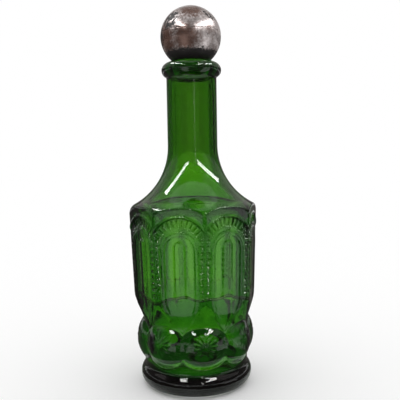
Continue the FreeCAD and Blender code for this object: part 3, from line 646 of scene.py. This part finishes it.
# ------------------------------------------------------------------ materials
class Graph:
    """A new material, and short hands for building its node graph."""

    def __init__(self, name):
        self.material = bpy.data.materials.new(name)
        self.material.use_nodes = True
        self.tree = self.material.node_tree
        self.shader = self.tree.nodes["Principled BSDF"]
        self.output = self.tree.nodes["Material Output"]

    def feed(self, item, inputs):
        """Link or set a node's inputs."""
        for key, value in inputs.items():
            if isinstance(value, bpy.types.NodeSocket):
                self.tree.links.new(value, item.inputs[key])
            else:
                item.inputs[key].default_value = value

    def node(self, kind, inputs, **settings):
        item = self.tree.nodes.new(kind)
        for key, value in settings.items():
            setattr(item, key, value)
        self.feed(item, inputs)
        return item

    def place(self):
        """Object coordinates, in metres."""
        return self.node("ShaderNodeTexCoord", {}).outputs["Object"]

    def level(self, where):
        return self.node("ShaderNodeSeparateXYZ", {0: where}).outputs["Z"]

    def maths(self, operation, a, b):
        return self.node("ShaderNodeMath", {0: a, 1: b}, operation=operation).outputs[0]

    def times(self, a, b):
        return self.maths("MULTIPLY", a, b)

    def largest(self, values):
        total = values[0]
        for value in values[1:]:
            total = self.maths("MAXIMUM", total, value)
        return total

    def noise(self, where, scale, detail=3.0, rough=0.55):
        return self.node("ShaderNodeTexNoise", {"Vector": where, "Scale": scale, "Detail": detail,
                                                "Roughness": rough}).outputs["Fac"]

    def wander(self, noise, reach):
        """A noise as a shift to either side of zero."""
        return self.times(self.maths("SUBTRACT", noise, 0.5), reach)

    def range(self, value, low_in, high_in, low_out=0.0, high_out=1.0):
        return self.node("ShaderNodeMapRange",
                         {0: value, 1: low_in, 2: high_in, 3: low_out, 4: high_out},
                         interpolation_type="SMOOTHSTEP").outputs[0]

    def mix(self, factor, a, b):
        return self.node("ShaderNodeMix", {0: factor, 6: a, 7: b}, data_type="RGBA").outputs[2]


def green_glass():
    """Clear glass with smooth walls, whose colour deepens with its thickness."""
    g = Graph("green_glass")
    g.feed(g.shader, {"Base Color": (1.0, 1.0, 1.0, 1), "Roughness": 0.0, "IOR": 1.5,
                      "Transmission Weight": 1.0})
    absorb = g.node("ShaderNodeVolumeAbsorption", {"Color": (0.475, 0.748, 0.03, 1), "Density": 810.0})
    g.feed(g.output, {"Volume": absorb.outputs["Volume"]})
    return g.material


def worn_silver():
    """Silver plating, flaked to the dark plastic, brown with tarnish in random blots and a broad patch at
    the back, and darkened in broad patches on the side toward the view by painted dark reflection of the
    room in front.
    """
    bright = (0.62, 0.57, 0.56, 1)
    dull = (0.40, 0.355, 0.345, 1)
    # brown of the tarnish and of the painted dark reflection
    brown_tarnish_and_reflection = (0.13, 0.072, 0.055, 1)
    bare = (0.012, 0.010, 0.010, 1)
    band_from, band_full = 0.2192, 0.2182  # metres; the plating is gone below, next to the lip
    g = Graph("worn_silver")
    where = g.place()
    broad = g.noise(where, 130.0, 4.0)
    fine = g.noise(where, 700.0, 5.0, 0.65)
    blot = g.noise(where, 320.0, 5.0, 0.7)
    specks = g.noise(where, 480.0, 4.0, 0.7)

    def patch(azimuth, elevation, angle, soft, ragged):
        """A patch on the ball, from 0 to 1, whose edge the noise breaks up; it marks flakes, tarnish and
        painted dark reflection.
        """
        centre = Vector((0, 0, BALL_Z * MM)) + direction(azimuth, elevation) * BALL_R * MM
        away = g.node("ShaderNodeVectorMath", {0: where, 1: centre}, operation="DISTANCE")
        size = 2 * BALL_R * MM * math.sin(math.radians(angle) / 2)
        reach = g.maths("ADD", away.outputs["Value"], g.wander(fine, ragged * size))
        return g.range(reach, size, size * (1 - soft))

    # painted reflection: the patches on the side toward the view (lower left, middle, top, right, lower
    # right) paint the dark brown reflection of the room in front; the patch at the back and the random
    # blots are tarnish
    tarnish_and_painted_reflection = g.largest([
        patch(-64, -12, 50, 0.6, 0.9),
        g.times(patch(-10, -12, 40, 0.7, 0.9), 0.95),
        g.times(patch(2, 48, 32, 0.6, 1.4), g.range(blot, 0.34, 0.52, 0.6, 1.0)),
        g.times(patch(38, 4, 14, 0.8, 1.4), 0.6),
        g.times(patch(66, -38, 26, 0.8, 1.0), 0.6),
        g.times(patch(175, -5, 60, 0.8, 1.0), 0.7),
        g.range(blot, 0.50, 0.72, 0.0, 0.75)])
    flakes = g.largest([
        g.times(patch(-45, 25, 22, 0.3, 0.9), g.range(blot, 0.40, 0.46)),
        patch(36, 41, 4, 0.5, 1.0), patch(40, 34, 4.5, 0.5, 1.0), patch(43, 28, 3, 0.5, 1.0),
        g.times(patch(-84, 0, 24, 0.3, 1.2), g.range(blot, 0.47, 0.53)),
        g.times(patch(56, 30, 10, 0.3, 1.2), g.range(blot, 0.48, 0.53)),
        g.times(patch(-150, 10, 26, 0.3, 1.2), g.range(blot, 0.49, 0.54)),
        g.times(patch(120, -12, 18, 0.3, 1.2), g.range(blot, 0.49, 0.54)),
        g.range(specks, 0.655, 0.685),
        g.range(g.maths("ADD", g.level(where), g.wander(g.noise(where, 640.0, 5.0, 0.8), 0.011)),
                band_from, band_full)])
    metal = g.mix(tarnish_and_painted_reflection, g.mix(g.range(fine, 0.35, 0.65), dull, bright), brown_tarnish_and_reflection)
    plated = g.maths("SUBTRACT", 1.0, flakes)
    surface = g.node("ShaderNodeBump", {"Strength": 0.25, "Distance": 0.00012,
                                        "Height": g.maths("ADD", fine, g.times(plated, 0.6))})
    g.feed(g.shader, {
        "Base Color": g.mix(flakes, metal, bare),
        "Metallic": g.range(flakes, 0.0, 1.0, 0.70, 0.0),
        "Roughness": g.maths("ADD", g.range(broad, 0.3, 0.7, 0.17, 0.33), g.times(flakes, 0.25)),
        "Normal": surface.outputs[0],
        "Specular IOR Level": 0.3})
    return g.material


def plug_plastic():
    """Cloudy soft plastic, with a dark wavy rim where the skirt ends in the neck."""
    rim_from, rim_full = 0.2036, 0.2031  # metres
    g = Graph("plug_plastic")
    where = g.place()
    wavy = g.maths("ADD", g.level(where), g.wander(g.noise(where, 170.0), 0.003))
    rim = g.range(wavy, rim_from, rim_full)
    clouds = g.mix(g.noise(where, 260.0), (0.70, 0.78, 0.66, 1), (0.86, 0.90, 0.82, 1))
    g.feed(g.shader, {"Base Color": g.mix(rim, clouds, (0.004, 0.006, 0.004, 1)),
                      "Transmission Weight": g.range(rim, 0.0, 1.0, 0.92, 0.2),
                      "Roughness": 0.22, "IOR": 1.45})
    return g.material


bottle.data.materials.append(green_glass())
ball.data.materials.append(worn_silver())
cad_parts["stopper_plug"].data.materials.clear()
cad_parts["stopper_plug"].data.materials.append(plug_plastic())

# ------------------------------------------------------------------ camera
# its place, in heights of the object: away from the axis, to the right of it and up
CAMERA_AWAY = 1.4879
CAMERA_RIGHT = 0.01724
CAMERA_UP = 0.5873
AIM_DOWN = math.radians(3.745)
ROLL = math.radians(0.97)

low, high = cad_box
height = high.z - low.z
camera_data = bpy.data.cameras.new("camera")
camera = bpy.data.objects.new("camera", camera_data)
bpy.context.scene.collection.objects.link(camera)
camera_data.sensor_fit = "HORIZONTAL"
camera_data.sensor_width = 36.0
camera_data.lens = 50.0
camera_data.clip_start = 0.01
camera.location = (to_cam * CAMERA_AWAY * height + right * CAMERA_RIGHT * height
                   + Vector((0, 0, low.z + CAMERA_UP * height)))
forward = -to_cam * math.cos(AIM_DOWN) - Vector((0, 0, math.sin(AIM_DOWN)))
up = -to_cam * math.sin(AIM_DOWN) + Vector((0, 0, math.cos(AIM_DOWN)))
up = up * math.cos(ROLL) + forward.cross(up) * math.sin(ROLL)
camera.rotation_euler = Matrix((forward.cross(up), up, -forward)).transposed().to_euler()
bpy.context.scene.camera = camera
bpy.context.scene.view_settings.view_transform = "Standard"

# ------------------------------------------------------------------ stage, in metres
FLOOR_HALF = 4.0
ROOM_R = 1.6
VIEWER_R = 1.55
FLAG_R = 1.5
WINDOW_R = 1.4
LINE_R = 0.95
MIDDLE = Vector((0, 0, low.z + 0.5 * height))
WHITE = (1.0, 1.0, 1.0)
CREAM = (0.80, 0.84, 0.80)
CEILING = (0.8, 0.8, 0.8)
HAZE = (0.75, 0.75, 0.75)
SKIRTING = (0.7, 0.7, 0.7)
GREY = (0.50, 0.47, 0.46)
PALE = (0.45, 0.45, 0.45)
DIM = (0.12, 0.11, 0.105)
DARK = (0.035, 0.03, 0.03)
BLACK = (0.0, 0.0, 0.0)
GLOSS = "visible_glossy"
GLASS = "visible_transmission"


def sheet(name, points, faces, colour, strength=0.0, only=None):
    """A plain sheet of the stage, which shines when it has a strength. Only says which rays meet
    it: those off gloss or those through glass; without it, all do."""
    data = bpy.data.meshes.new(name)
    data.from_pydata(points, [], faces)
    item = bpy.data.objects.new(name, data)
    bpy.context.scene.collection.objects.link(item)
    g = Graph(name)
    g.feed(g.shader, {"Base Color": (*colour, 1), "Roughness": 1.0, "Specular IOR Level": 0.0,
                      "Emission Color": (1, 1, 1, 1), "Emission Strength": strength})
    data.materials.append(g.material)
    if only:
        for rays in ("visible_camera", "visible_diffuse", "visible_shadow", "visible_volume_scatter",
                     "visible_glossy", "visible_transmission"):
            setattr(item, rays, rays == only)


def strip(name, rows, colour, strength=0.0, only=None):
    """A sheet through rows of points, all of the same length."""
    n = len(rows[0])
    faces = [(i * n + j, i * n + j + 1, (i + 1) * n + j + 1, (i + 1) * n + j)
             for i in range(len(rows) - 1) for j in range(n - 1)]
    sheet(name, [p for row in rows for p in row], faces, colour, strength, only)


def dome(name, az_from, az_to, el_from, el_to, radius, colour, strength=0.0, only=GLOSS):
    """Part of a sphere round the object, given by azimuths and elevations in the view's frame."""
    n_az = max(2, int(abs(az_to - az_from) / 6))
    n_el = max(2, int(abs(el_to - el_from) / 6))
    strip(name, [[MIDDLE + direction(az_from + (az_to - az_from) * j / n_az,
                                     el_from + (el_to - el_from) * i / n_el) * radius
                  for j in range(n_az + 1)] for i in range(n_el + 1)], colour, strength, only)


def window(name, path):
    """A long bright window along a path of azimuths and elevations."""
    half, strength = 3.0, 18.0
    strip(name, [[MIDDLE + direction(az, el + s * half) * WINDOW_R for az, el in path] for s in (-1, 1)],
          BLACK, strength, GLOSS)


def floor_card(name, az_from, az_to, near, far, colour, only, strength=0.0):
    """A sheet just over the floor, between two distances from the middle."""
    lift, pitch = 0.0003, 10
    ring = [direction(az, 0) for az in range(az_from, az_to + 1, pitch)]
    strip(name, [[Vector((d.x * r, d.y * r, low.z + lift)) for d in ring] for r in (near, far)],
          colour, strength, only)


# plain pale floor and plain soft light from a white world
sheet("floor", [(x * FLOOR_HALF, y * FLOOR_HALF, low.z) for x, y in ((-1, -1), (1, -1), (1, 1), (-1, 1))],
      [(0, 1, 2, 3)], WHITE)
world = bpy.data.worlds.new("studio")
bpy.context.scene.world = world
world.use_nodes = True
world.node_tree.nodes["Background"].inputs["Color"].default_value = (1, 1, 1, 1)
world.node_tree.nodes["Background"].inputs["Strength"].default_value = 1.0

# what the gloss shows: dim walls, a pale ceiling, two long windows and a thin upright light
dome("skirting", -170, 170, -8, 2.5, ROOM_R, SKIRTING)
dome("wall_low", -170, 170, 2.5, 16, ROOM_R, DIM)
dome("wall_high", -170, 170, 16, 60, ROOM_R, GREY)
dome("ceiling_gloss", -180, 180, 68, 90, ROOM_R, CEILING)
window("window_left", [(-19, 31), (-30, 33), (-45, 39), (-60, 44), (-75, 47), (-90, 49), (-105, 50),
                       (-120, 50)])
window("window_right", [(20.5, 29), (35, 33), (50, 36), (61, 38), (80, 39), (95, 39), (110, 38)])
dome("light_line", 11.0, 12.4, 3, 30, LINE_R, BLACK, 5.0)
dome("viewer", -70, 48, 4, 62, VIEWER_R, DIM)

# what shows through the glass beside the white world: dark flags, and a grey wall behind
for k, (az_from, az_to, el_from, el_to, colour) in enumerate((
        (-35, 35, 12, 44, DARK), (35, 78, -8, 44, DARK), (-78, -35, -8, 44, DARK),
        (102, 128, -8, 44, DARK), (-128, -102, -8, 44, DARK), (-180, 180, 44, 90, DARK),
        (128, 232, 0, 2, HAZE), (128, 232, 2, 22, PALE), (128, 232, 22, 44, DARK))):
    dome("flag_%d" % k, az_from, az_to, el_from, el_to, FLAG_R, colour, only=GLASS)

# what the gloss shows of the floor: a pale ring at the foot, dim round it and in three sectors
FOOT_NEAR, FOOT_FAR, NEAR_FAR, GLOW_FAR = 0.032, 0.053, 0.105, 0.1
floor_card("floor_foot", -130, 130, FOOT_NEAR, FOOT_FAR, CREAM, GLOSS)
floor_card("floor_near", -130, 130, FOOT_FAR, NEAR_FAR, DIM, GLOSS)
for k, (az_from, az_to) in enumerate(((-170, -40), (-12, 48), (80, 170))):
    floor_card("floor_dark_%d" % k, az_from, az_to, FOOT_FAR, ROOM_R, DIM, GLOSS)
# lights the foot from below, where the glass would otherwise look through at its own shadow
floor_card("floor_glow", -180, 180, 0.0005, GLOW_FAR, BLACK, GLASS, 0.8)
